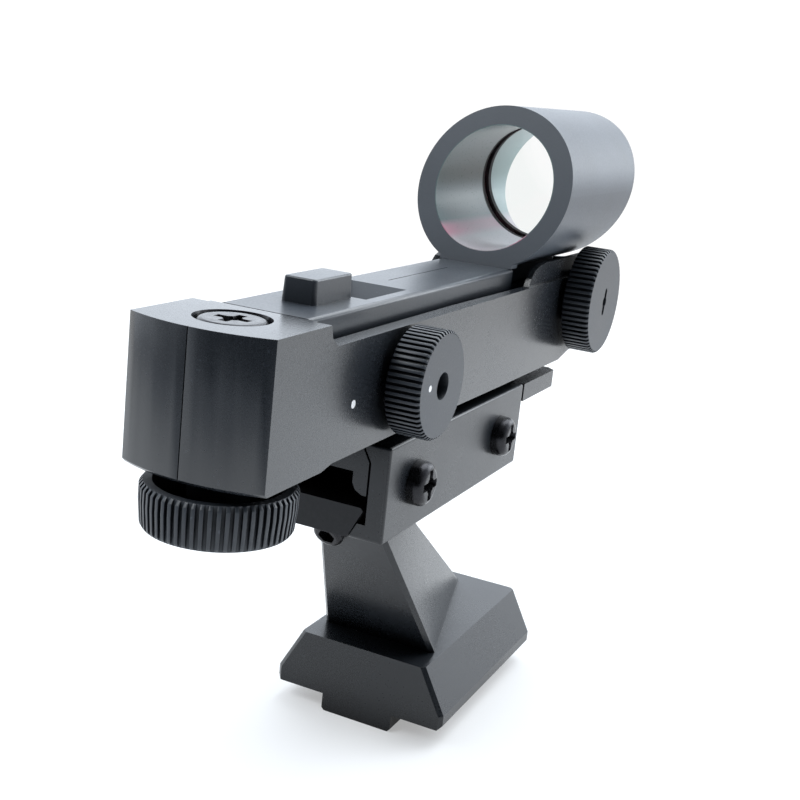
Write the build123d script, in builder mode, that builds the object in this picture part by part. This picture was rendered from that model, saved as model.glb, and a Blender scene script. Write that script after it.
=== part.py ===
"""Red dot finder: a long reflex sight on a two-axis adjuster, clamped to a dovetail bar
that stands on a finder foot.

Millimetres. +X is the side with the two small knobs, +Y is the way the sight looks, +Z is
up. The origin is the middle of the finder foot's upper body at its underside.
"""

from build123d import *
from math import pi
import os

os.makedirs("parts", exist_ok=True)

# ------------------------------------------------------------------ driving dimensions
# finder foot and stalk
FOOT_HALF = 16.5             # widest part of the foot's trapezoid
FOOT_TOP_HALF = 12.2
FOOT_LENGTH = 44.5
FOOT_HEIGHT = 10.7
FOOT_LIP = 2.7               # height of the upright band under the slanted flanks
TONGUE_HALF = 6.9
TONGUE_DEPTH = 3.2
STALK_SLOPE = 0.628          # how far the rear face leans back per millimetre of height
STALK_TOP_REAR = -34.3
# height, half width at the rear, half width at the front, y of the front
STALK_SECTIONS = [(39.8, 5.5, 5.0, -24.0), (10.2, 11.1, 1.2, 19.6)]
SCREW_X, SCREW_Z = -3.7, 35.2

# dovetail bar
BAR_BOTTOM = 39.8
BAR_TOP = 45.0
BAR_TOP_HALF = 7.9
BAR_BOTTOM_HALF = 5.5
BAR_REAR = -44.5
BAR_FRONT = 13.4
TENON_HALF = 4.0
TENON_TOP_REAR = -32.0
TENON_TOP_FRONT = -26.6
TENON_DEPTH = 9.6

# altitude base and its clamp jaw
JAW_HALF = 11.6
JAW_TOP = 55.4
JAW_INNER = 8.5
JAW_LIP = 42.4               # height of the lips that grip the bar
BASE_TOP = 55.2
BASE_CEILING = 50.5
BASE_RIGHT = 8.15            # right side of the base, inside the jaw
LEG_INNER = 5.6
LEG_BOTTOM = 47.0
BLOCK_FRONT_Y = 32.6
BLOCK_UNDERSIDE = 51.8
CLAMP_Z = 47.55
CLAMP_Y = (-34.0, 2.2)
NUT_FLATS = 5.5
NUT_THICKNESS = 2.4
ARM_HALF = 4.0
ARM_BOTTOM = 57.6
ARM_TOP = 61.0
ARM_END_RADIUS = 4.8
PIVOT_Y, PIVOT_Z = 27.0, 59.4
LUG_RADIUS = 2.6

# cradle
HALF = 11.0
REAR = -80.0                 # the rear block's two rear corners
BULGE = 2.4                  # how far its rear face bulges between them
STEP = -66.1                 # where the block steps down to the walls
TOP = 77.0
BOTTOM = 56.6
WALL_TOP = 73.9
WALL_BOTTOM = 57.2
WEB_BOTTOM = 62.3
WEB_TOP = 64.3
UPPER_HALF = 8.5             # the upper channel at the rear
UPPER_HALF_FRONT = 9.3       # and at the front, where the sight body swings further
EAR_HALF = 10.4              # the ears stand a little inside the walls
LOWER_HALF = 7.6
NOSE_Y = 41.5
NOSE_BOTTOM = 57.8
EAR_TOP = 77.8
CAVITY_CEILING = 69.0

# sight body and tube
BODY_HALF = 7.25
BODY_REAR = -65.1
BODY_SHOULDER = 11.5         # where the plate narrows to the tube's support
SUPPORT_HALF = 4.0
BODY_NOSE_Y = 44.0
BODY_BOTTOM = 66.2
PLATE_BOTTOM = 73.2
RIB_HALF = 3.0
LED_BLOCK_TOP = 80.7
TUBE_Z = 91.2
TUBE_REAR = 15.26            # on the tube's axis; both ends are cut at a slant
TUBE_REAR_SLOPE = 0.36
TUBE_FRONT = 57.9
TUBE_FRONT_SLOPE = 0.5
TUBE_OUTER = 15.3
TUBE_INNER = 11.6
TUBE_MOUTH = 13.2            # radius of the bore ahead of the lens
TUBE_MOUTH_REAR = 43.6
TUBE_SCREW_Y = (17.5, 34.0)
LENS_SEAT = 38.6
LENS_TILT = 0.0794           # turns the light source's beam into the line of sight
LENS_RADIUS = 12.45
LENS_CURVE = 173.0           # radius of the reflecting surface, twice its focal length
LENS_THICKNESS = 2.3
LENS_RING = 1.1

# what turns
ALT_SCREW_Y = -73.0
ALT_SHANK = 2.0
SWING_Y = -60.0
AZ_Y, AZ_Z = 39.8, 69.3
BRIGHT_Y, BRIGHT_Z = -42.2, 65.9
RIDGES = 60
ALT_KNOB_RADIUS = 10.7
ALT_KNOB_BOTTOM = 48.3
ALT_KNOB_RIM = 54.8
ALT_CUP_RADIUS = 9.0
ALT_CUP_FLOOR = 50.0
AZ_KNOB_RADIUS = 10.7
BRIGHT_KNOB_RADIUS = 8.35
SIDE_KNOB_BACK = 12.1
SIDE_KNOB_FACE = 17.7

# battery bay in the nose
CELL_RADIUS = 8.0
CELL_THICKNESS = 3.2
BAY_Y = 42.2
BAY_RADIUS = 8.3
LID_RADIUS = 8.9
LID_TOP = 59.0

SHANK = 1.5                  # radius of the small screws and pins
RUNNING = 0.05               # radial clearance of a running fit
SLIP = 0.3                   # clearance between bodies that move past each other


# ------------------------------------------------------------------ planes and shapes
def across(x, y=0.0, z=0.0):
    """Plane facing +X, with its own x along Y and its own y along Z."""
    return Plane(origin=(x, y, z), x_dir=(0, 1, 0), z_dir=(1, 0, 0))


def rearward(y, x=0.0, z=0.0):
    """Plane facing -Y, with its own x along X and its own y along Z."""
    return Plane(origin=(x, y, z), x_dir=(1, 0, 0), z_dir=(0, -1, 0))


def level(z, x=0.0, y=0.0):
    """Plane facing +Z."""
    return Plane(origin=(x, y, z))


def hole(plane, radius, depth):
    """Cut a round hole that starts at a plane and goes in against its normal."""
    with BuildSketch(plane) as outline:
        Circle(radius)
    extrude(outline.sketch, amount=-depth, mode=Mode.SUBTRACT)


def boss(plane, radius, height):
    """Add a round boss that stands on a plane."""
    with BuildSketch(plane) as outline:
        Circle(radius)
    extrude(outline.sketch, amount=height)


def cross_recess(plane, width, depth):
    """Cut a Phillips recess, two crossed slots that narrow towards the bottom."""
    with BuildSketch(plane) as outline:
        Rectangle(width, 0.26 * width)
        Rectangle(0.26 * width, width)
        Circle(0.26 * width)
    extrude(outline.sketch, amount=-depth, taper=14, mode=Mode.SUBTRACT)


def ridged_ring(plane, radius, height, depth=0.5, count=RIDGES):
    """Add a disc whose rim has flat ridges with grooves of the same width between them."""
    with BuildSketch(plane) as outline:
        Circle(radius)
        with PolarLocations(radius, count):
            Rectangle(2 * depth, 0.5 * 2 * pi * radius / count, mode=Mode.SUBTRACT)
    extrude(outline.sketch, amount=height)


def coil_path(plane, radius, height, turns):
    """Helix that stands on a plane."""
    return plane.location * Helix(pitch=height / turns, height=height, radius=radius)


# ------------------------------------------------------------------ finder bracket
def stalk_section(z, rear_half, front_half, front_y):
    """Horizontal section of the stalk, with its rear corners cut off."""
    rear_y = STALK_TOP_REAR + (BAR_BOTTOM - z) * STALK_SLOPE
    bevel = 0.8
    with BuildSketch(level(z)) as outline:
        Polygon((-rear_half + bevel, rear_y), (rear_half - bevel, rear_y),
                (rear_half, rear_y + bevel), (front_half, front_y),
                (-front_half, front_y), (-rear_half, rear_y + bevel), align=None)
    return outline.sketch


screw_face = Plane(
    origin=(SCREW_X, STALK_TOP_REAR + (BAR_BOTTOM - SCREW_Z) * STALK_SLOPE, SCREW_Z),
    x_dir=(1, 0, 0), z_dir=(0, -1, -STALK_SLOPE))

with BuildPart() as finder_bracket:
    loft([stalk_section(*section) for section in STALK_SECTIONS], ruled=True)
    with BuildSketch(Plane.XZ):
        with BuildLine():
            Polyline((0, FOOT_HEIGHT), (FOOT_TOP_HALF, FOOT_HEIGHT), (FOOT_HALF, FOOT_LIP),
                     (FOOT_HALF, 0.8), (FOOT_HALF - 0.8, 0), (TONGUE_HALF, 0),
                     (TONGUE_HALF, 0.5 - TONGUE_DEPTH), (TONGUE_HALF - 0.5, -TONGUE_DEPTH),
                     (0, -TONGUE_DEPTH))
            mirror(about=Plane.YZ)
        make_face()
    extrude(amount=FOOT_LENGTH / 2, both=True)
    flank_ends = [edge for edge in finder_bracket.edges().filter_by(GeomType.LINE)
                  if abs(edge.center().Y) > FOOT_LENGTH / 2 - 0.01
                  and abs(edge.center().X) > FOOT_TOP_HALF]
    chamfer([edge for edge in flank_ends if edge.center().Z > 0.81], length=0.7)
    # slanted mortise for the bar's tenon
    with BuildSketch(Plane.YZ):
        Polygon((TENON_TOP_REAR, BAR_BOTTOM), (TENON_TOP_FRONT, BAR_BOTTOM),
                (TENON_TOP_FRONT + TENON_DEPTH * STALK_SLOPE, BAR_BOTTOM - TENON_DEPTH),
                (TENON_TOP_REAR + TENON_DEPTH * STALK_SLOPE, BAR_BOTTOM - TENON_DEPTH),
                align=None)
    extrude(amount=TENON_HALF + 0.02, both=True, mode=Mode.SUBTRACT)
    hole(screw_face.offset(0.5), 1.3, 6.5)
finder_bracket.part.label = "finder_bracket"
export_step(finder_bracket.part, "parts/finder_bracket.step")

with BuildPart() as dovetail_bar:
    with BuildSketch(rearward(BAR_FRONT)):
        Polygon((-BAR_BOTTOM_HALF, BAR_BOTTOM), (BAR_BOTTOM_HALF, BAR_BOTTOM),
                (BAR_TOP_HALF, BAR_TOP - 0.5), (BAR_TOP_HALF - 0.4, BAR_TOP),
                (-BAR_TOP_HALF + 0.4, BAR_TOP), (-BAR_TOP_HALF, BAR_TOP - 0.5), align=None)
    extrude(amount=BAR_FRONT - BAR_REAR)
    with BuildSketch(Plane.YZ):
        Polygon((TENON_TOP_REAR, BAR_BOTTOM), (TENON_TOP_FRONT, BAR_BOTTOM),
                (TENON_TOP_FRONT + (TENON_DEPTH - 0.2) * STALK_SLOPE,
                 BAR_BOTTOM - TENON_DEPTH + 0.2),
                (TENON_TOP_REAR + (TENON_DEPTH - 0.2) * STALK_SLOPE,
                 BAR_BOTTOM - TENON_DEPTH + 0.2), align=None)
    extrude(amount=TENON_HALF, both=True)
    hole(screw_face.offset(0.5), 1.3, 6.5)
dovetail_bar.part.label = "dovetail_bar"
export_step(dovetail_bar.part, "parts/dovetail_bar.step")

# cross screw on the joint between tenon and stalk, with a hexagon socket
with BuildPart() as stalk_screw:
    boss(screw_face.offset(0.02), 2.7, 1.98)
    fillet(stalk_screw.edges().filter_by(GeomType.CIRCLE).sort_by(Axis.Y)[0], radius=0.9)
    with BuildSketch(screw_face.offset(2.0)):
        RegularPolygon(1.55, 6)
    extrude(amount=-1.5, mode=Mode.SUBTRACT)
    boss(screw_face.offset(0.02), 1.25, -5.7)
stalk_screw.part.label = "stalk_screw"
export_step(stalk_screw.part, "parts/stalk_screw.step")

# ------------------------------------------------------------------ altitude base
with BuildPart() as altitude_base:
    # inverted U over the bar, with the fixed jaw on its left
    with BuildSketch(rearward(BAR_FRONT)):
        Polygon((7.0, BASE_TOP), (-JAW_HALF + 0.5, BASE_TOP), (-JAW_HALF, BASE_TOP - 0.5),
                (-JAW_HALF, BAR_BOTTOM + 0.4), (-JAW_HALF + 0.4, BAR_BOTTOM),
                (-5.75, BAR_BOTTOM), (-7.1, JAW_LIP), (-JAW_INNER, JAW_LIP),
                (-JAW_INNER, LEG_BOTTOM), (-7.4, LEG_BOTTOM),
                (-6.2, LEG_BOTTOM + 0.6), (-LEG_INNER, LEG_BOTTOM + 1.7),
                (-LEG_INNER, BASE_CEILING), (LEG_INNER, BASE_CEILING),
                (LEG_INNER, LEG_BOTTOM + 1.7), (6.2, LEG_BOTTOM + 0.6), (7.4, LEG_BOTTOM),
                (BASE_RIGHT, LEG_BOTTOM), (BASE_RIGHT, 52.4), (7.0, 54.5), align=None)
    extrude(amount=BAR_FRONT - BAR_REAR)
    # front block and the strip that joins it
    with BuildSketch(level(BLOCK_UNDERSIDE)):
        with BuildLine():
            Polyline((-JAW_HALF, BAR_FRONT), (7.0, BAR_FRONT), (7.0, BAR_FRONT + 0.5),
                     (JAW_HALF, BAR_FRONT + 0.5), (JAW_HALF, BLOCK_FRONT_Y - 1.5),
                     (JAW_HALF - 1.5, BLOCK_FRONT_Y), (-JAW_HALF + 1.5, BLOCK_FRONT_Y),
                     (-JAW_HALF, BLOCK_FRONT_Y - 1.5), close=True)
        make_face()
    extrude(amount=BASE_TOP - BLOCK_UNDERSIDE)
    # pads that ride on the bar and carry the clamp screws
    with BuildSketch(level(BAR_TOP + 0.12)):
        for x, width in ((6.85, 1.9), (-7.2, 2.6)):
            with Locations((x, -16.0)):
                Rectangle(width, 46.0)
    extrude(amount=LEG_BOTTOM + 0.8 - BAR_TOP - 0.12)
    # spine and arm
    with BuildSketch(Plane.YZ):
        Polygon((ALT_SCREW_Y, ARM_BOTTOM), (-47.0, ARM_BOTTOM), (-44.5, BASE_TOP - 0.5),
                (PIVOT_Y + LUG_RADIUS, BASE_TOP - 0.5), (PIVOT_Y + LUG_RADIUS, PIVOT_Z),
                (PIVOT_Y, ARM_TOP), (ALT_SCREW_Y, ARM_TOP), align=None)
        with Locations((PIVOT_Y, PIVOT_Z)):
            Circle(LUG_RADIUS)
    extrude(amount=ARM_HALF, both=True)
    boss(level(ARM_BOTTOM, y=ALT_SCREW_Y), ARM_END_RADIUS, ARM_TOP - ARM_BOTTOM)
    hole(level(ARM_TOP, y=ALT_SCREW_Y), ALT_SHANK + 0.4, 10)
    hole(across(ARM_HALF, PIVOT_Y, PIVOT_Z), SHANK + RUNNING, 2 * ARM_HALF)
    # clamp screw holes and the hexagon pockets of their nuts
    for y in CLAMP_Y:
        hole(across(BASE_RIGHT, y, CLAMP_Z), SHANK + SLIP, BASE_RIGHT + JAW_HALF)
        with BuildSketch(across(-JAW_HALF, y, CLAMP_Z)):
            RegularPolygon(NUT_FLATS / 2 + 0.05, 6, major_radius=False)
        extrude(amount=NUT_THICKNESS + 0.4, mode=Mode.SUBTRACT)
altitude_base.part.label = "altitude_base"
export_step(altitude_base.part, "parts/altitude_base.step")

with BuildPart() as clamp_nuts:
    for y in CLAMP_Y:
        with BuildSketch(across(-JAW_HALF + 0.4, y, CLAMP_Z)):
            RegularPolygon(NUT_FLATS / 2, 6, major_radius=False)
            Circle(SHANK + RUNNING, mode=Mode.SUBTRACT)
        extrude(amount=NUT_THICKNESS)
clamp_nuts.part.label = "clamp_nuts"
export_step(clamp_nuts.part, "parts/clamp_nuts.step")

# ------------------------------------------------------------------ clamp jaw and screws
with BuildPart() as clamp_jaw:
    with BuildSketch(rearward(BAR_FRONT)):
        Polygon((5.75, BAR_BOTTOM), (7.1, JAW_LIP), (JAW_INNER, JAW_LIP), (JAW_INNER, 52.4),
                (7.35, 54.5), (7.35, JAW_TOP), (JAW_HALF, JAW_TOP), (JAW_HALF, BAR_BOTTOM),
                align=None)
    extrude(amount=BAR_FRONT - BAR_REAR)
    outer_edges = [edge for edge in clamp_jaw.edges().filter_by(Axis.Y)
                   if edge.center().X > JAW_HALF - 0.01]
    fillet(outer_edges, radius=0.5)
    ends = [edge for edge in clamp_jaw.edges().filter_by(Axis.Z)
            if edge.center().X > JAW_HALF - 0.01]
    fillet(ends, radius=0.5)
    for y in CLAMP_Y:
        hole(across(JAW_HALF, y, CLAMP_Z), SHANK + RUNNING, 4)
clamp_jaw.part.label = "clamp_jaw"
export_step(clamp_jaw.part, "parts/clamp_jaw.step")


def clamp_screw_solids(y):
    """Pan-head screw on the jaw's outer face, inside the current part."""
    seat = across(JAW_HALF + 0.02, y, CLAMP_Z)
    boss(seat, 3.65, 2.6)
    face = faces().sort_by(Axis.X)[-1]
    fillet(face.edges(), radius=1.5)
    cross_recess(seat.offset(2.6), 5.0, 1.6)
    boss(seat, SHANK, -(2 * JAW_HALF - 0.6))


with BuildPart() as clamp_screw_rear:
    clamp_screw_solids(CLAMP_Y[0])
clamp_screw_rear.part.label = "clamp_screw_rear"
export_step(clamp_screw_rear.part, "parts/clamp_screw_rear.step")

with BuildPart() as clamp_screw_front:
    clamp_screw_solids(CLAMP_Y[1])
clamp_screw_front.part.label = "clamp_screw_front"
export_step(clamp_screw_front.part, "parts/clamp_screw_front.step")

# ------------------------------------------------------------------ altitude knob
with BuildPart() as altitude_knob:
    # ridged rim, closed by a revolved envelope that rounds its edges and draws it in below
    ridged_ring(level(ALT_KNOB_BOTTOM, y=ALT_SCREW_Y), ALT_KNOB_RADIUS,
                ALT_KNOB_RIM - ALT_KNOB_BOTTOM, depth=0.55)
    with BuildSketch(rearward(ALT_SCREW_Y)):
        Polygon((0, ALT_KNOB_BOTTOM), (ALT_KNOB_RADIUS - 1.2, ALT_KNOB_BOTTOM),
                (ALT_KNOB_RADIUS - 0.6, ALT_KNOB_BOTTOM + 0.25),
                (ALT_KNOB_RADIUS - 0.3, ALT_KNOB_BOTTOM + 0.7),
                (ALT_KNOB_RADIUS + 0.05, ALT_KNOB_BOTTOM + 4.5),
                (ALT_KNOB_RADIUS + 0.05, ALT_KNOB_RIM - 0.7),
                (ALT_KNOB_RADIUS - 0.5, ALT_KNOB_RIM), (0, ALT_KNOB_RIM), align=None)
    revolve(axis=Axis((0, ALT_SCREW_Y, 0), (0, 0, 1)), mode=Mode.INTERSECT)
    # smooth rim behind the ridges, then the hub and the cup round it
    boss(level(ALT_KNOB_RIM - 1.5, y=ALT_SCREW_Y), ALT_KNOB_RADIUS - 0.55, 1.5)
    boss(level(ALT_CUP_FLOOR, y=ALT_SCREW_Y), 4.4, 6.9)
    with BuildSketch(level(ALT_KNOB_RIM, y=ALT_SCREW_Y)):
        Circle(ALT_CUP_RADIUS)
        Circle(4.4, mode=Mode.SUBTRACT)
    extrude(amount=ALT_CUP_FLOOR - ALT_KNOB_RIM, mode=Mode.SUBTRACT)
    hole(level(56.9, y=ALT_SCREW_Y), 3.02, 7.9)
altitude_knob.part.label = "altitude_knob"
export_step(altitude_knob.part, "parts/altitude_knob.step")

with BuildPart() as altitude_insert:
    boss(level(49.1, y=ALT_SCREW_Y), 3.0, 7.8)
    hole(level(56.9, y=ALT_SCREW_Y), ALT_SHANK + SLIP, 8)
altitude_insert.part.label = "altitude_insert"
export_step(altitude_insert.part, "parts/altitude_insert.step")

with BuildPart() as altitude_washer:
    boss(level(56.92, y=ALT_SCREW_Y), 4.3, 0.5)
    hole(level(57.5, y=ALT_SCREW_Y), ALT_SHANK + 0.4, 2)
altitude_washer.part.label = "altitude_washer"
export_step(altitude_washer.part, "parts/altitude_washer.step")

# ------------------------------------------------------------------ cradle
with BuildPart() as cradle:
    with BuildSketch(level(50)):
        with BuildLine():
            Line((HALF, NOSE_Y), (HALF, REAR))
            ThreePointArc((HALF, REAR), (0, REAR - BULGE), (-HALF, REAR))
            Line((-HALF, REAR), (-HALF, NOSE_Y))
            ThreePointArc((-HALF, NOSE_Y), (0, NOSE_Y + HALF), (HALF, NOSE_Y))
        make_face()
    extrude(amount=40)
    # side view: bottom line, then the top line back from the nose
    with BuildSketch(Plane.YZ):
        with BuildLine():
            Polyline((REAR - BULGE - 1, TOP), (REAR - BULGE - 1, BOTTOM), (-65.5, BOTTOM),
                     (-62.5, WALL_BOTTOM), (-40, WALL_BOTTOM), (0, 56.8), (35, 56.6),
                     (41, NOSE_BOTTOM), (54, NOSE_BOTTOM), (54, 76.8), (46, EAR_TOP),
                     (21.5, EAR_TOP), (18.0, 77.5), (15.2, 76.7), (13.5, 75.4),
                     (12.7, WALL_TOP),
                     (-63.9, WALL_TOP), (-65.6, 75.2), (STEP, TOP), close=True)
        make_face()
    extrude(amount=HALF + 1, both=True, mode=Mode.INTERSECT)
    # the ears stand inside the walls
    with BuildSketch(level(WALL_TOP)):
        with Locations((0, 38)):
            Rectangle(2 * HALF + 2, 54)
        with Locations((0, NOSE_Y)):
            Circle(EAR_HALF, mode=Mode.SUBTRACT)
        with Locations((0, (NOSE_Y + 10) / 2)):
            Rectangle(2 * EAR_HALF, NOSE_Y - 10, mode=Mode.SUBTRACT)
    extrude(amount=6, mode=Mode.SUBTRACT)
    # the block's top plate reaches over the channel
    with BuildSketch(level(72)):
        with Locations((0, (STEP - 65.45) / 2)):
            Rectangle(2 * UPPER_HALF, abs(STEP + 65.45) + 0.2)
    extrude(amount=TOP - 72)
    # upper channel, wider towards the nose
    with BuildSketch(level(WEB_TOP)):
        with BuildLine():
            Polyline((UPPER_HALF_FRONT, NOSE_Y), (UPPER_HALF_FRONT, 10), (UPPER_HALF, -20),
                     (UPPER_HALF, -65.45), (-UPPER_HALF, -65.45), (-UPPER_HALF, -20),
                     (-UPPER_HALF_FRONT, 10), (-UPPER_HALF_FRONT, NOSE_Y))
            ThreePointArc((-UPPER_HALF_FRONT, NOSE_Y), (0, NOSE_Y + UPPER_HALF_FRONT),
                          (UPPER_HALF_FRONT, NOSE_Y))
        make_face()
    extrude(amount=20, mode=Mode.SUBTRACT)
    # lower channel for the base's spine and arm, and the cavity around its end
    with BuildSketch(level(50)):
        with Locations((0, (31.0 - 70.0) / 2)):
            Rectangle(2 * LOWER_HALF, 101.0)
    extrude(amount=WEB_BOTTOM - 50, mode=Mode.SUBTRACT)
    with BuildSketch(level(50)):
        with Locations((0, ALT_SCREW_Y + 0.15)):
            RectangleRounded(13.0, 11.4, 1.5)
    extrude(amount=CAVITY_CEILING - 50, mode=Mode.SUBTRACT)
    # rear edge bevels
    rear_edges = [edge for edge in cradle.edges().filter_by(GeomType.CIRCLE)
                  if edge.center().Y < REAR and edge.center().Z < BOTTOM + 0.1]
    chamfer(rear_edges, length=0.5)
    # counterbore and hole of the altitude screw
    hole(level(TOP, y=ALT_SCREW_Y), 5.35, 3.0)
    hole(level(TOP, y=ALT_SCREW_Y), ALT_SHANK + RUNNING, 12)
    # bosses of the pivot pin
    for side in (1, -1):
        with BuildSketch(across(side * (ARM_HALF + SLIP), PIVOT_Y, PIVOT_Z)):
            with Locations((0, 0.3)):
                Rectangle(6.4, 5.6)
        extrude(amount=side * (LOWER_HALF - ARM_HALF))
    hole(across(10.3, PIVOT_Y, PIVOT_Z), SHANK + 0.02, 22)
    # boss of the swing pin
    boss(level(WEB_BOTTOM, y=SWING_Y), 3.4, 65.6 - WEB_BOTTOM)
    hole(level(65.6, y=SWING_Y), SHANK + 0.02, 3.3)
    # brightness switch: pocket beside the arm and hole in the right wall
    with BuildSketch(across(4.5, BRIGHT_Y, BRIGHT_Z)):
        Rectangle(11.2, 11.2)
    extrude(amount=UPPER_HALF - 4.5, mode=Mode.SUBTRACT)
    hole(across(HALF, BRIGHT_Y, BRIGHT_Z), 3.03, 3)
    # flat seat and hole of the azimuth collar
    boss(across(UPPER_HALF_FRONT, AZ_Y, AZ_Z), 5.6, HALF - UPPER_HALF_FRONT)
    hole(across(HALF, AZ_Y, AZ_Z), 3.52, 3)
    # battery bay, open below
    hole(level(62.8, y=BAY_Y), BAY_RADIUS, 10)
    hole(level(LID_TOP + 0.1, y=BAY_Y), LID_RADIUS + SLIP, 10)
    # room for the tube to swing between the ears and over the nose
    for x in (-1.3, 0, 1.3):
        hole(Plane(origin=(x, 60, TUBE_Z), x_dir=(-1, 0, 0), z_dir=(0, 1, 0)),
             TUBE_OUTER + SLIP, 50)
    # moulding seam of the rear face
    with BuildSketch(level(BOTTOM)):
        with Locations((-0.5, REAR - BULGE)):
            Rectangle(0.16, 0.4)
    extrude(amount=TOP - BOTTOM, mode=Mode.SUBTRACT)
cradle.part.label = "cradle"
export_step(cradle.part, "parts/cradle.step")

with BuildPart() as altitude_screw:
    boss(level(74.02, y=ALT_SCREW_Y), 4.75, 2.9)
    fillet(faces().sort_by(Axis.Z)[-1].edges(), radius=0.7)
    cross_recess(level(76.92, y=ALT_SCREW_Y), 5.2, 1.9)
    boss(level(74.1, y=ALT_SCREW_Y), ALT_SHANK, -24.0)
altitude_screw.part.label = "altitude_screw"
export_step(altitude_screw.part, "parts/altitude_screw.step")

# compression spring between the arm and the block
SPRING_WIRE = 0.7
with BuildPart() as altitude_spring:
    path = coil_path(level(ARM_TOP + 0.1 + SPRING_WIRE / 2, y=ALT_SCREW_Y), 3.2,
                     CAVITY_CEILING - ARM_TOP - 0.2 - SPRING_WIRE, 5)
    with BuildSketch(Plane(origin=path @ 0, z_dir=path % 0)):
        Circle(SPRING_WIRE / 2)
    sweep(path=path)
altitude_spring.part.label = "altitude_spring"
export_step(altitude_spring.part, "parts/altitude_spring.step")

with BuildPart() as pivot_pin:
    boss(across(-11.0, PIVOT_Y, PIVOT_Z), SHANK, 21.2)
pivot_pin.part.label = "pivot_pin"
export_step(pivot_pin.part, "parts/pivot_pin.step")

with BuildPart() as swing_pin:
    boss(level(WEB_BOTTOM + 0.1, y=SWING_Y), SHANK, 72.0 - WEB_BOTTOM)
swing_pin.part.label = "swing_pin"
export_step(swing_pin.part, "parts/swing_pin.step")

with BuildPart() as azimuth_collar:
    boss(across(HALF + 0.02, AZ_Y, AZ_Z), 5.2, 0.8)
    boss(across(HALF + 0.02, AZ_Y, AZ_Z), 3.5, UPPER_HALF_FRONT - HALF)
    hole(across(HALF + 1, AZ_Y, AZ_Z), SHANK + RUNNING, 4)
azimuth_collar.part.label = "azimuth_collar"
export_step(azimuth_collar.part, "parts/azimuth_collar.step")

# rotary switch with its threaded bush, soldered to nothing else
with BuildPart() as brightness_switch:
    boss(across(4.7, BRIGHT_Y, BRIGHT_Z), 5.2, 3.75)
    boss(across(8.4, BRIGHT_Y, BRIGHT_Z), 3.0, 3.4)
    hole(across(11.8, BRIGHT_Y, BRIGHT_Z), SHANK + RUNNING, 6.4)
brightness_switch.part.label = "brightness_switch"
export_step(brightness_switch.part, "parts/brightness_switch.step")

with BuildPart() as battery_contact:
    with BuildSketch(level(62.55, y=BAY_Y)):
        Rectangle(4.0, 10.0)
        Circle(3.0)
    extrude(amount=0.2)
battery_contact.part.label = "battery_contact"
export_step(battery_contact.part, "parts/battery_contact.step")

# ------------------------------------------------------------------ sight body
LED_PLANE = Plane(origin=(0, -44.9, 77.7), x_dir=(1, 0, 0), z_dir=(0, 0.9877, 0.1564))

with BuildPart() as sight_body:
    # plate, then the narrower support of the tube with a round front end
    with BuildSketch(level(PLATE_BOTTOM)):
        with BuildLine():
            Polyline((SUPPORT_HALF, BODY_NOSE_Y), (SUPPORT_HALF, BODY_SHOULDER),
                     (BODY_HALF, BODY_SHOULDER), (BODY_HALF, BODY_REAR),
                     (-BODY_HALF, BODY_REAR), (-BODY_HALF, BODY_SHOULDER),
                     (-SUPPORT_HALF, BODY_SHOULDER), (-SUPPORT_HALF, BODY_NOSE_Y))
            ThreePointArc((-SUPPORT_HALF, BODY_NOSE_Y), (0, BODY_NOSE_Y + SUPPORT_HALF),
                          (SUPPORT_HALF, BODY_NOSE_Y))
        make_face()
    extrude(amount=TOP - PLATE_BOTTOM)
    top_edges = [edge for edge in sight_body.edges().filter_by(Axis.Y)
                 if edge.center().Z > TOP - 0.01 and abs(edge.center().X) > SUPPORT_HALF + 1]
    fillet(top_edges, radius=0.7)
    # rib, and a boss round the swing pin
    with BuildSketch(level(BODY_BOTTOM)):
        with Locations((0, (BODY_REAR + 1.5 + 47.0) / 2)):
            Rectangle(2 * RIB_HALF, 47.0 - BODY_REAR - 1.5)
        with Locations((0, SWING_Y)):
            Circle(3.8)
    extrude(amount=PLATE_BOTTOM - BODY_BOTTOM)
    # housing of the light source, slightly tapered
    with BuildSketch(level(TOP)):
        with Locations((0, -50.65)):
            RectangleRounded(5.7, 11.6, 0.8)
    extrude(amount=LED_BLOCK_TOP - TOP, taper=3)
    fillet(faces().sort_by(Axis.Z)[-1].edges(), radius=0.35)
    # trough in front of it, with a slanted front wall
    with BuildSketch(Plane.YZ):
        Polygon((-44.5, TOP + 1), (-44.5, 74.6), (-33.5, 74.6), (-30.3, TOP),
                (-30.0, TOP + 1), align=None)
    extrude(amount=4.9, both=True, mode=Mode.SUBTRACT)
    # saddle of the tube
    with BuildSketch(rearward(50, z=TUBE_Z)):
        Circle(TUBE_OUTER + 0.02)
    extrude(amount=50 - 9.7, mode=Mode.SUBTRACT)
    # seam line on the plate
    with BuildSketch(level(TOP)):
        with Locations((-1.2, -12.3)):
            Rectangle(0.2, 24.4)
    extrude(amount=-0.25, mode=Mode.SUBTRACT)
    # swing bore, light source pocket and bore
    hole(level(72.3, y=SWING_Y), SHANK + RUNNING, 8)
    with BuildSketch(level(BODY_BOTTOM)):
        with Locations((0, -49.8)):
            Rectangle(3.8, 6.6)
    extrude(amount=79.4 - BODY_BOTTOM, mode=Mode.SUBTRACT)
    hole(LED_PLANE.offset(0.5), 1.22, 3)
    # bore and hexagon pocket of the azimuth nut
    hole(across(RIB_HALF, AZ_Y, AZ_Z), SHANK + SLIP, 2 * RIB_HALF)
    with BuildSketch(across(-RIB_HALF, AZ_Y, AZ_Z)):
        RegularPolygon(NUT_FLATS / 2 + 0.02, 6, major_radius=False)
    extrude(amount=NUT_THICKNESS, mode=Mode.SUBTRACT)
    # counterbored holes of the tube screws
    for y in TUBE_SCREW_Y:
        hole(level(72.4, y=y), 2.2, 10)
        hole(level(79.0, y=y), 1.02, 10)
sight_body.part.label = "sight_body"
export_step(sight_body.part, "parts/sight_body.step")

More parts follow.
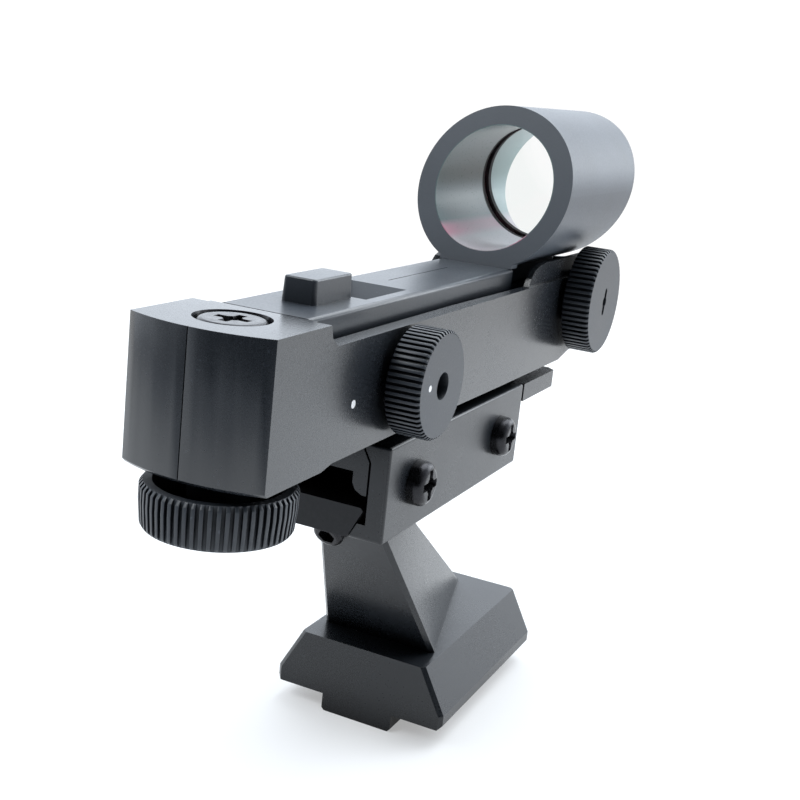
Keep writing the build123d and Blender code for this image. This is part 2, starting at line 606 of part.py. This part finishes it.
LENS_AXIS = Plane(origin=(0, LENS_SEAT, TUBE_Z), x_dir=(-1, 0, 0), z_dir=(0, 1, LENS_TILT))


def tube_end(y, slope, z):
    """Point of one of the tube's slanted ends in the side view, at a given height."""
    return y + slope * (z - TUBE_Z), z


with BuildPart() as sight_tube:
    with BuildSketch(rearward(70, z=TUBE_Z)):
        Circle(TUBE_OUTER)
    extrude(amount=62)
    # foot on the plate, under the rear end
    with BuildSketch(level(TOP + 0.02)):
        with Locations((0, 11.0)):
            Rectangle(2 * BODY_HALF, 5.0)
    extrude(amount=2.0)
    # slanted ends
    with BuildSketch(Plane.YZ):
        Polygon(tube_end(TUBE_REAR, TUBE_REAR_SLOPE, 70), tube_end(TUBE_FRONT, TUBE_FRONT_SLOPE, 70),
                tube_end(TUBE_FRONT, TUBE_FRONT_SLOPE, 110), tube_end(TUBE_REAR, TUBE_REAR_SLOPE, 110),
                align=None)
    extrude(amount=2 * TUBE_OUTER, both=True, mode=Mode.INTERSECT)
    # bore, mouth and the tilted seat of the lens
    hole(rearward(0, z=TUBE_Z), TUBE_INNER, 80)
    hole(Plane(origin=(0, 80, TUBE_Z), x_dir=(-1, 0, 0), z_dir=(0, 1, 0)), TUBE_MOUTH,
         80 - TUBE_MOUTH_REAR)
    hole(LENS_AXIS.offset(6.2), LENS_RADIUS + 0.03, 6.2)
    for y in TUBE_SCREW_Y:
        hole(level(78.4, y=y), 1.02, 5)
sight_tube.part.label = "sight_tube"
export_step(sight_tube.part, "parts/sight_tube.step")

with BuildPart() as tube_screws:
    for y in TUBE_SCREW_Y:
        boss(level(72.38, y=y), 2.1, -1.4)
        boss(level(72.38, y=y), 1.0, 5.8)
        cross_recess(Plane(origin=(0, y, 70.98), z_dir=(0, 0, -1)), 2.2, 0.8)
tube_screws.part.label = "tube_screws"
export_step(tube_screws.part, "parts/tube_screws.step")

# meniscus lens whose rear surface is the tilted mirror of the sight
with BuildPart() as lens:
    boss(LENS_AXIS.offset(LENS_RING + 0.02), LENS_RADIUS, 5.0)
    with Locations((LENS_AXIS.offset(LENS_RING + 0.46 - LENS_CURVE)).origin):
        Sphere(LENS_CURVE + LENS_THICKNESS, mode=Mode.INTERSECT)
        Sphere(LENS_CURVE, mode=Mode.SUBTRACT)
lens.part.label = "lens"
export_step(lens.part, "parts/lens.step")

with BuildPart() as lens_ring:
    boss(LENS_AXIS.offset(0.01), LENS_RADIUS, LENS_RING)
    hole(LENS_AXIS.offset(LENS_RING + 1), TUBE_INNER, 4)
lens_ring.part.label = "lens_ring"
export_step(lens_ring.part, "parts/lens_ring.step")

with BuildPart() as lens_retainer:
    boss(LENS_AXIS.offset(LENS_RING + LENS_THICKNESS + 0.1), LENS_RADIUS, 1.4)
    hole(LENS_AXIS.offset(LENS_RING + LENS_THICKNESS + 2), TUBE_INNER, 4)
lens_retainer.part.label = "lens_retainer"
export_step(lens_retainer.part, "parts/lens_retainer.step")

with BuildPart() as led:
    boss(LED_PLANE.offset(-2.4), 1.2, 2.2)
    fillet(led.edges().filter_by(GeomType.CIRCLE).sort_by(Axis.Y)[-1], radius=0.9)
led.part.label = "led"
export_step(led.part, "parts/led.step")

with BuildPart() as led_board:
    with BuildSketch(rearward(-48.2)):
        with Locations((0, 73.6)):
            Rectangle(3.6, 11.0)
    extrude(amount=0.8)
led_board.part.label = "led_board"
export_step(led_board.part, "parts/led_board.step")

with BuildPart() as azimuth_nut:
    with BuildSketch(across(-RIB_HALF, AZ_Y, AZ_Z)):
        RegularPolygon(NUT_FLATS / 2, 6, major_radius=False)
        Circle(SHANK + 0.1, mode=Mode.SUBTRACT)
    extrude(amount=NUT_THICKNESS - 0.02)
azimuth_nut.part.label = "azimuth_nut"
export_step(azimuth_nut.part, "parts/azimuth_nut.step")


# ------------------------------------------------------------------ side knobs
def side_knob(y, z, radius, count):
    """Ridged knob on a horizontal axis, in the current part, with a chamfered face edge."""
    centre = across(SIDE_KNOB_BACK, y, z)
    ridged_ring(centre, radius, SIDE_KNOB_FACE - SIDE_KNOB_BACK, count=count)
    envelope = Plane(origin=(0, y, z), x_dir=(1, 0, 0), z_dir=(0, 0, 1))
    with BuildSketch(envelope) as outline:
        Polygon((SIDE_KNOB_BACK, 0), (SIDE_KNOB_FACE, 0), (SIDE_KNOB_FACE, radius - 0.45),
                (SIDE_KNOB_FACE - 0.25, radius - 0.12), (SIDE_KNOB_FACE - 0.6, radius + 0.05),
                (SIDE_KNOB_BACK + 0.3, radius + 0.05), (SIDE_KNOB_BACK, radius - 0.3),
                align=None)
    revolve(outline.sketch, axis=Axis((0, y, z), (1, 0, 0)), mode=Mode.INTERSECT)
    boss(centre.offset(SIDE_KNOB_FACE - SIDE_KNOB_BACK - 0.6), radius - 0.5, 0.6)


with BuildPart() as brightness_knob:
    side_knob(BRIGHT_Y, BRIGHT_Z, BRIGHT_KNOB_RADIUS, 56)
    hole(across(SIDE_KNOB_FACE, BRIGHT_Y, BRIGHT_Z), 2.1, 8)
brightness_knob.part.label = "brightness_knob"
export_step(brightness_knob.part, "parts/brightness_knob.step")

with BuildPart() as brightness_shaft:
    boss(across(12.0, BRIGHT_Y, BRIGHT_Z), 2.08, 4.2)
    boss(across(12.0, BRIGHT_Y, BRIGHT_Z), SHANK, -6.2)
    with BuildSketch(across(16.2, BRIGHT_Y, BRIGHT_Z)):
        Rectangle(0.7, 5)
    extrude(amount=-1.2, mode=Mode.SUBTRACT)
brightness_shaft.part.label = "brightness_shaft"
export_step(brightness_shaft.part, "parts/brightness_shaft.step")

with BuildPart() as azimuth_knob:
    side_knob(AZ_Y, AZ_Z, AZ_KNOB_RADIUS, RIDGES)
    # recess in the middle: a round hole with a slot across it
    with BuildSketch(across(SIDE_KNOB_FACE, AZ_Y, AZ_Z)):
        SlotOverall(5.6, 1.3, rotation=82)
        Circle(1.15)
    extrude(amount=-1.6, mode=Mode.SUBTRACT)
    hole(across(SIDE_KNOB_FACE - 1.6, AZ_Y, AZ_Z), SHANK + 0.02, 8)
azimuth_knob.part.label = "azimuth_knob"
export_step(azimuth_knob.part, "parts/azimuth_knob.step")

with BuildPart() as azimuth_screw:
    boss(across(SIDE_KNOB_FACE - 1.62, AZ_Y, AZ_Z), SHANK, -21.4)
azimuth_screw.part.label = "azimuth_screw"
export_step(azimuth_screw.part, "parts/azimuth_screw.step")

# ------------------------------------------------------------------ battery
with BuildPart() as battery_cover:
    boss(level(NOSE_BOTTOM, y=BAY_Y), LID_RADIUS, LID_TOP - NOSE_BOTTOM)
    with BuildSketch(level(NOSE_BOTTOM, y=BAY_Y)):
        SlotOverall(9.0, 1.4)
    extrude(amount=0.7, mode=Mode.SUBTRACT)
battery_cover.part.label = "battery_cover"
export_step(battery_cover.part, "parts/battery_cover.step")

with BuildPart() as battery:
    boss(level(LID_TOP + 0.1, y=BAY_Y), CELL_RADIUS, CELL_THICKNESS)
    fillet(battery.edges().filter_by(GeomType.CIRCLE), radius=0.4)
battery.part.label = "battery"
export_step(battery.part, "parts/battery.step")
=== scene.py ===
import math

import bpy
from mathutils import Euler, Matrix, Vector


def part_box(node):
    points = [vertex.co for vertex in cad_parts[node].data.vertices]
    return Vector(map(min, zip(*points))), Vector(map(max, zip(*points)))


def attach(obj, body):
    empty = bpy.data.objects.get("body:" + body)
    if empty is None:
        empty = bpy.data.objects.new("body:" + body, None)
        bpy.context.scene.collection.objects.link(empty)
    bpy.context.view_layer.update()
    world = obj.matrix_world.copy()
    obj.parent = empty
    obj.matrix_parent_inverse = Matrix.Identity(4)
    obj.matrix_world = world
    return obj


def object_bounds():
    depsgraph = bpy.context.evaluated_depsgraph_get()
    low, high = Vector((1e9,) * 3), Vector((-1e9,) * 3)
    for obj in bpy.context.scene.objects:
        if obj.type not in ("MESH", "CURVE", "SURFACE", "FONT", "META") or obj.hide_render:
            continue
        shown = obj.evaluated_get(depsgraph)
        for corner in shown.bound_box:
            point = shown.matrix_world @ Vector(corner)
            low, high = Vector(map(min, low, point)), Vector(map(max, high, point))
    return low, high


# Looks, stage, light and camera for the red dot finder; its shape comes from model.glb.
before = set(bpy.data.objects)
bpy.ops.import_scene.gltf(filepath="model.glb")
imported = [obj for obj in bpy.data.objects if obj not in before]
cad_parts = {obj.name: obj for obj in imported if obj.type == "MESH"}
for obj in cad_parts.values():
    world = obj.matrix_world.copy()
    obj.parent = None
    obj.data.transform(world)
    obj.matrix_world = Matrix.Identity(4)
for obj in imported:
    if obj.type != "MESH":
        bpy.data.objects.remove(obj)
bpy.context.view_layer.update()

# ------------------------------------------------------------------ materials
MM = 0.001


class Nodes:
    """Small helper that adds and links shader nodes in one material."""

    def __init__(self, name):
        self.material = bpy.data.materials.new(name)
        self.material.use_nodes = True
        self.tree = self.material.node_tree
        self.tree.nodes.clear()
        self.output = self.add("ShaderNodeOutputMaterial")
        self.coords = self.add("ShaderNodeTexCoord").outputs["Object"]

    def add(self, kind, **settings):
        node = self.tree.nodes.new(kind)
        for key, value in settings.items():
            setattr(node, key, value)
        return node

    def feed(self, socket, value):
        """Link an output to a socket, or set the socket's own value."""
        if isinstance(value, bpy.types.NodeSocket):
            self.tree.links.new(value, socket)
        else:
            socket.default_value = value

    def noise(self, scale, detail=3.0, roughness=0.5, stretch=None):
        node = self.add("ShaderNodeTexNoise")
        vector = self.coords
        if stretch:
            mapping = self.add("ShaderNodeMapping")
            self.feed(mapping.inputs["Vector"], self.coords)
            mapping.inputs["Scale"].default_value = stretch
            vector = mapping.outputs["Vector"]
        self.feed(node.inputs["Vector"], vector)
        self.feed(node.inputs["Scale"], scale)
        self.feed(node.inputs["Detail"], detail)
        self.feed(node.inputs["Roughness"], roughness)
        return node.outputs["Fac"]

    def remap(self, value, low, high, to_low, to_high, smooth=False):
        node = self.add("ShaderNodeMapRange")
        node.interpolation_type = "SMOOTHSTEP" if smooth else "LINEAR"
        self.feed(node.inputs["Value"], value)
        for socket, number in zip(("From Min", "From Max", "To Min", "To Max"),
                                  (low, high, to_low, to_high)):
            self.feed(node.inputs[socket], number)
        return node.outputs["Result"]

    def math(self, operation, a, b=0.0):
        node = self.add("ShaderNodeMath", operation=operation)
        self.feed(node.inputs[0], a)
        self.feed(node.inputs[1], b)
        return node.outputs["Value"]

    def mix(self, factor, a, b):
        node = self.add("ShaderNodeMix", data_type="RGBA")
        self.feed(node.inputs["Factor"], factor)
        self.feed(node.inputs["A"], a)
        self.feed(node.inputs["B"], b)
        return node.outputs["Result"]

    def bump(self, height, strength, distance, normal=None):
        node = self.add("ShaderNodeBump")
        self.feed(node.inputs["Height"], height)
        self.feed(node.inputs["Strength"], strength)
        self.feed(node.inputs["Distance"], distance)
        if normal is not None:
            self.feed(node.inputs["Normal"], normal)
        return node.outputs["Normal"]

    def occlusion_shade(self, reach, low=0.25, high=0.85):
        """Painted shade mask from ambient occlusion: 0 deep in gaps and beside close neighbours,
        1 on open faces.
        """
        node = self.add("ShaderNodeAmbientOcclusion", samples=8)
        self.feed(node.inputs["Distance"], reach)
        return self.remap(node.outputs["AO"], low, high, 0, 1, smooth=True)

    def surface(self, **inputs):
        node = self.add("ShaderNodeBsdfPrincipled")
        for key, value in inputs.items():
            self.feed(node.inputs[key.replace("_", " ")], value)
        self.feed(self.output.inputs["Surface"], node.outputs["BSDF"])
        return self.material


def shade(level, tint=(0.84, 1.0, 1.24)):
    return (level * tint[0], level * tint[1], level * tint[2], 1.0)


def moulded(name, level, rough, grain=0.35, cell=2600, specular=0.5):
    """Satin moulded plastic: fine grain, faint clouds in tone and sheen, a little dust, and
    painted shade that darkens colour and reflection in gaps and beside close neighbours.
    """
    m = Nodes(name)
    clouds = m.noise(45, 4, 0.55)
    fine = m.noise(cell, 2, 0.6)
    tone = m.mix(m.remap(clouds, 0.3, 0.7, 0, 1), shade(0.82 * level), shade(1.2 * level))
    specks = m.remap(m.noise(1400, 1, 0.5), 0.70, 0.78, 0, 0.35)
    tone = m.mix(specks, tone, shade(3.2 * level))
    # painted shade: ambient occlusion darkens the colour to a third and dims the reflection in
    # gaps and beside close neighbours
    unshaded = m.occlusion_shade(14 * MM)
    tone = m.mix(unshaded, shade(0.3 * level), tone)
    shaded_sheen = m.remap(unshaded, 0, 1, 0.15 * specular, specular)
    gloss = m.math("ADD", m.remap(clouds, 0.25, 0.75, rough - 0.04, rough + 0.05),
                   m.remap(fine, 0.3, 0.7, -0.03, 0.03))
    normal = m.bump(fine, grain, 0.03 * MM)
    normal = m.bump(m.noise(260, 2, 0.5), 0.12, 0.05 * MM, normal)
    return m.surface(Base_Color=tone, Roughness=gloss, Specular_IOR_Level=shaded_sheen,
                     Normal=normal)


def metal(name, color, rough, metallic=1.0, brushed=(1, 1, 1)):
    """Turned, blackened or plated metal with fine tool marks."""
    m = Nodes(name)
    marks = m.noise(900, 3, 0.6, stretch=brushed)
    tone = m.mix(m.remap(marks, 0.3, 0.7, 0, 1), tuple(0.8 * c for c in color[:3]) + (1,),
                 tuple(min(1, 1.15 * c) for c in color[:3]) + (1,))
    return m.surface(Base_Color=tone, Metallic=metallic,
                     Roughness=m.remap(marks, 0.3, 0.7, rough - 0.06, rough + 0.08),
                     Normal=m.bump(marks, 0.2, 0.02 * MM))


# the tube's bore is narrow behind the lens seat and wider ahead of it
SEAT_START, SEAT_END = 42 * MM, 43 * MM
BORE_LIMIT, MOUTH_LIMIT = 11.75 * MM, 13.4 * MM


def tube_material():
    """The tube's plastic outside, and its smooth glossy bore inside with painted light: a pale
    greenish glare ahead of the lens seat, a painted highlight along its low side and a painted
    pink reflection behind the seat.
    """
    m = Nodes("tube plastic")
    split = m.add("ShaderNodeSeparateXYZ")
    m.feed(split.inputs[0], m.coords)
    low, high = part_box("sight_tube")
    middle = (low[2] + high[2]) / 2
    rise = m.math("SUBTRACT", split.outputs["Z"], middle)
    square = m.math("ADD", m.math("POWER", split.outputs["X"], 2.0),
                    m.math("MULTIPLY", rise, rise))
    radius = m.math("SQRT", square)
    limit = m.remap(split.outputs["Y"], SEAT_START, SEAT_END, BORE_LIMIT, MOUTH_LIMIT)
    inside = m.math("LESS_THAN", radius, limit)
    clouds = m.noise(40, 4, 0.55)
    fine = m.noise(2300, 2, 0.6)
    tone = m.mix(m.remap(clouds, 0.3, 0.7, 0, 1), shade(0.060), shade(0.080))
    # painted light in the bore: pale greenish glare ahead of the lens seat, a pale painted
    # highlight on the low side, and a painted pink reflection of the lens coat in a band behind
    # the seat
    lit_low_side = m.remap(rise, -7.4 * MM, -9.4 * MM, 0, 1, smooth=True)
    pink_reflection_band = m.math("MULTIPLY", m.remap(rise, -7.2 * MM, -8.6 * MM, 0, 0.9, smooth=True),
                  m.remap(rise, -10.6 * MM, -9.2 * MM, 0, 1, smooth=True))
    ahead = m.remap(split.outputs["Y"], 40 * MM, 41 * MM, 0, 1)
    bore_colour_and_glare = m.mix(ahead, (0.08, 0.135, 0.14, 1), (0.30, 0.40, 0.40, 1))
    bore_colour_and_glare = m.mix(lit_low_side, bore_colour_and_glare, (0.55, 0.50, 0.53, 1))
    behind = m.math("SUBTRACT", 1.0, ahead)
    bore_colour_and_glare = m.mix(m.math("MULTIPLY", pink_reflection_band, behind), bore_colour_and_glare, (0.62, 0.24, 0.34, 1))
    tone = m.mix(inside, tone, bore_colour_and_glare)
    rough = m.remap(inside, 0, 1, 0.42, 0.30)
    rough = m.math("ADD", rough, m.remap(fine, 0.3, 0.7, -0.03, 0.03))
    height = m.math("MULTIPLY", fine, m.remap(inside, 0, 1, 1.0, 0.15))
    return m.surface(Base_Color=tone, Roughness=rough,
                     Normal=m.bump(height, 0.4, 0.03 * MM))


def lens_material():
    """Clear lens with a partly reflecting coat on its rear surface."""
    m = Nodes("coated lens")
    clear = m.add("ShaderNodeBsdfTransparent")
    m.feed(clear.inputs["Color"], (0.985, 1.0, 0.995, 1))
    gloss = m.add("ShaderNodeBsdfGlossy")
    m.feed(gloss.inputs["Color"], (0.95, 0.62, 0.66, 1))
    m.feed(gloss.inputs["Roughness"], m.remap(m.noise(60, 3), 0.3, 0.7, 0.02, 0.05))
    facing = m.add("ShaderNodeFresnel")
    m.feed(facing.inputs["IOR"], 1.55)
    amount = m.math("ADD", m.math("MULTIPLY", facing.outputs[0], 0.6), 0.04)
    blend = m.add("ShaderNodeMixShader")
    m.feed(blend.inputs[0], amount)
    m.feed(blend.inputs[1], clear.outputs[0])
    m.feed(blend.inputs[2], gloss.outputs[0])
    m.feed(m.output.inputs["Surface"], blend.outputs[0])
    return m.material


body = moulded("body plastic", 0.018, 0.24, grain=0.18, specular=0.75)
rear_body = moulded("sight body plastic", 0.040, 0.33, specular=0.6)
bracket = moulded("bracket plastic", 0.014, 0.28, grain=0.2)
clamp = moulded("clamp plastic", 0.014, 0.29, grain=0.2)
knob = moulded("knob plastic", 0.040, 0.42, grain=0.3, cell=3000)
bar = metal("black bar", (0.02, 0.021, 0.023), 0.4, metallic=0.6, brushed=(1, 0.1, 1))
black_steel = metal("black oxide", (0.03, 0.03, 0.033), 0.26, metallic=0.9)
bright_steel = metal("bright steel", (0.55, 0.55, 0.55), 0.3)
brass = metal("brass", (0.7, 0.52, 0.25), 0.3)
anodised = metal("black anodised", (0.012, 0.012, 0.014), 0.45, metallic=0.5)
ring_black = metal("matt black ring", (0.0035, 0.0035, 0.004), 0.75, metallic=0.0)
switch = moulded("switch plastic", 0.05, 0.5)
board = moulded("circuit board", 0.06, 0.35)

finishes = {
    "finder_bracket": bracket, "dovetail_bar": bar, "stalk_screw": black_steel,
    "altitude_base": clamp, "clamp_nuts": black_steel, "clamp_jaw": clamp,
    "clamp_screw_rear": black_steel, "clamp_screw_front": black_steel,
    "altitude_knob": knob, "altitude_insert": brass, "altitude_washer": bright_steel,
    "cradle": body, "altitude_screw": black_steel, "altitude_spring": bright_steel,
    "pivot_pin": bright_steel, "swing_pin": bright_steel, "azimuth_collar": anodised,
    "brightness_switch": switch, "battery_contact": brass, "sight_body": rear_body,
    "sight_tube": tube_material(), "tube_screws": black_steel, "lens": lens_material(),
    "lens_ring": ring_black, "lens_retainer": ring_black, "led_board": board,
    "led": metal("red light source", (0.5, 0.01, 0.01), 0.15, metallic=0.0),
    "azimuth_nut": brass, "brightness_knob": knob, "brightness_shaft": anodised,
    "azimuth_knob": knob, "azimuth_screw": black_steel, "battery_cover": clamp,
    "battery": bright_steel,
}
# widths in millimetres of the small rounding on sharp edges
soft_edges = {"cradle": 0.28, "altitude_base": 0.25, "clamp_jaw": 0.18, "finder_bracket": 0.35,
              "sight_body": 0.15, "dovetail_bar": 0.2,
              "altitude_knob": 0.08, "azimuth_knob": 0.07, "brightness_knob": 0.07}

WELD_DISTANCE = 0.002 * MM
SHARPEST_SMOOTH_ANGLE = math.radians(32)

for node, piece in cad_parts.items():
    piece.data.materials.clear()
    piece.data.materials.append(finishes[node])
    if node in soft_edges:
        weld = piece.modifiers.new("weld", "WELD")
        weld.merge_threshold = WELD_DISTANCE
        bevel = piece.modifiers.new("soft edges", "BEVEL")
        bevel.width = soft_edges[node] * MM
        bevel.segments = 2
        bevel.limit_method = "ANGLE"
        bevel.angle_limit = SHARPEST_SMOOTH_ANGLE
        bevel.harden_normals = True
        bevel.use_clamp_overlap = True


# ------------------------------------------------------------------ painted index dots
def paint_material():
    m = Nodes("white paint")
    grain = m.noise(3000, 2)
    tone = m.mix(m.remap(grain, 0.3, 0.7, 0, 1), (0.78, 0.79, 0.8, 1), (0.9, 0.9, 0.9, 1))
    return m.surface(Base_Color=tone, Roughness=0.45, Normal=m.bump(grain, 0.2, 0.02 * MM))


paint = paint_material()
DOT_DEPTH = 0.03 * MM


def index_dot(name, x, y, z, radius, body_name):
    """Flat drop of white paint, its radius in millimetres, on a face that looks along +X."""
    bpy.ops.mesh.primitive_cylinder_add(vertices=32, radius=radius * MM, depth=DOT_DEPTH,
                                        location=(x, y, z), rotation=(0, math.pi / 2, 0))
    dot = bpy.context.object
    dot.name = name
    dot.data.materials.append(paint)
    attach(dot, body_name)


DOT_SINK = 0.012 * MM
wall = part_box("cradle")[1][0]
knob_low, knob_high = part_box("brightness_knob")
knob_face = knob_high[0]
knob_y = (knob_low[1] + knob_high[1]) / 2
knob_z = (knob_low[2] + knob_high[2]) / 2
index_dot("cradle_index_dot", wall, knob_y - 15.5 * MM, knob_z - 1.2 * MM, 0.62, "tilting_cradle")
index_dot("knob_index_dot", knob_face - DOT_SINK, knob_y - 4.6 * MM, knob_z + 0.4 * MM, 0.5,
          "brightness_control")

# ------------------------------------------------------------------ stage
FLOOR_SIZE = 60
FLOOR_GAP = 0.01 * MM
floor_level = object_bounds()[0][2]
bpy.ops.mesh.primitive_plane_add(size=FLOOR_SIZE, location=(0, 0, floor_level - FLOOR_GAP))
floor = bpy.context.object
floor.name = "floor"

f = Nodes("floor with painted shade behind")
pale = f.mix(f.remap(f.noise(3, 3), 0.3, 0.7, 0, 1), (0.86, 0.87, 0.88, 1), (0.9, 0.905, 0.91, 1))
depth = f.add("ShaderNodeSeparateXYZ")
f.feed(depth.inputs[0], f.coords)
ahead = f.remap(depth.outputs["Y"], -0.35, -0.05, 0, 1, smooth=True)
# painted shade: behind the finder the floor is dark grey
pale = f.mix(ahead, (0.30, 0.31, 0.33, 1), pale)
f.surface(Base_Color=pale, Roughness=0.85)
# ahead of the finder the floor is made to glow white, more with distance, so that it fades into
# the white surroundings
glow = f.add("ShaderNodeEmission")
f.feed(glow.inputs["Color"], (1, 1, 1, 1))
f.feed(glow.inputs["Strength"], 1.05)
distance = f.add("ShaderNodeVectorMath", operation="LENGTH")
f.feed(distance.inputs[0], f.coords)
blend = f.add("ShaderNodeMixShader")
away = f.remap(distance.outputs["Value"], 0.12, 0.7, 0.35, 1, smooth=True)
f.feed(blend.inputs[0], f.math("MULTIPLY", away, ahead))
f.feed(blend.inputs[1], f.output.inputs["Surface"].links[0].from_socket)
f.feed(blend.inputs[2], glow.outputs[0])
f.feed(f.output.inputs["Surface"], blend.outputs[0])
floor.data.materials.append(f.material)

# the surroundings are dark behind the finder and bright ahead of it, and a little to its left
WORLD_SLANT = -0.35
WORLD_RAMP = {"From Min": -0.85, "From Max": 0.95, "To Min": 0.02, "To Max": 2.0}
WORLD_COLOR = (0.91, 0.98, 1.07, 1)

world = bpy.data.worlds.new("studio")
bpy.context.scene.world = world
world.use_nodes = True
tree = world.node_tree
tree.nodes.clear()
out = tree.nodes.new("ShaderNodeOutputWorld")
background = tree.nodes.new("ShaderNodeBackground")
coords = tree.nodes.new("ShaderNodeTexCoord")
axes = tree.nodes.new("ShaderNodeSeparateXYZ")
ramp = tree.nodes.new("ShaderNodeMapRange")
ramp.interpolation_type = "SMOOTHSTEP"
for socket, number in WORLD_RAMP.items():
    ramp.inputs[socket].default_value = number
background.inputs["Color"].default_value = WORLD_COLOR
tree.links.new(coords.outputs["Generated"], axes.inputs[0])
slant = tree.nodes.new("ShaderNodeMath")
slant.operation = "MULTIPLY_ADD"
slant.inputs[1].default_value = WORLD_SLANT
tree.links.new(axes.outputs["X"], slant.inputs[0])
tree.links.new(axes.outputs["Y"], slant.inputs[2])
tree.links.new(slant.outputs[0], ramp.inputs["Value"])
tree.links.new(ramp.outputs["Result"], background.inputs["Strength"])
tree.links.new(background.outputs[0], out.inputs[0])


SOFTBOX_COLOR = (0.94, 0.98, 1.0)


def softbox(name, location, target, size, power):
    light = bpy.data.lights.new(name, "AREA")
    light.shape = "SQUARE"
    light.size = size
    light.energy = power
    light.color = SOFTBOX_COLOR
    lamp = bpy.data.objects.new(name, light)
    bpy.context.collection.objects.link(lamp)
    lamp.location = location
    lamp.rotation_euler = (Vector(target) - Vector(location)).to_track_quat("-Z", "Y").to_euler()


softbox("overhead", (0.15, 0.45, 0.95), (0, 0, 0.05), 0.9, 9)
softbox("behind", (-0.5, -0.7, 1.1), (0, 0, 0.08), 0.5, 7)
softbox("right", (0.55, 0.85, 0.45), (0, 0, 0.06), 0.5, 3)

# ------------------------------------------------------------------ camera
CAMERA_PLACE = (0.08589, -0.2099, 0.10904)
CAMERA_TURN = (77.065, -5.896, 25.665)
FOCAL_LENGTH = 56.748
SENSOR_WIDTH = 36

camera_data = bpy.data.cameras.new("camera")
camera = bpy.data.objects.new("camera", camera_data)
bpy.context.collection.objects.link(camera)
bpy.context.scene.camera = camera
camera.location = CAMERA_PLACE
camera.rotation_euler = Euler([math.radians(angle) for angle in CAMERA_TURN])
camera_data.sensor_width = SENSOR_WIDTH
camera_data.lens = FOCAL_LENGTH
camera_data.shift_x = 0.0032
camera_data.shift_y = -0.0384
camera_data.clip_start = 0.01
bpy.context.scene.view_settings.view_transform = "Standard"
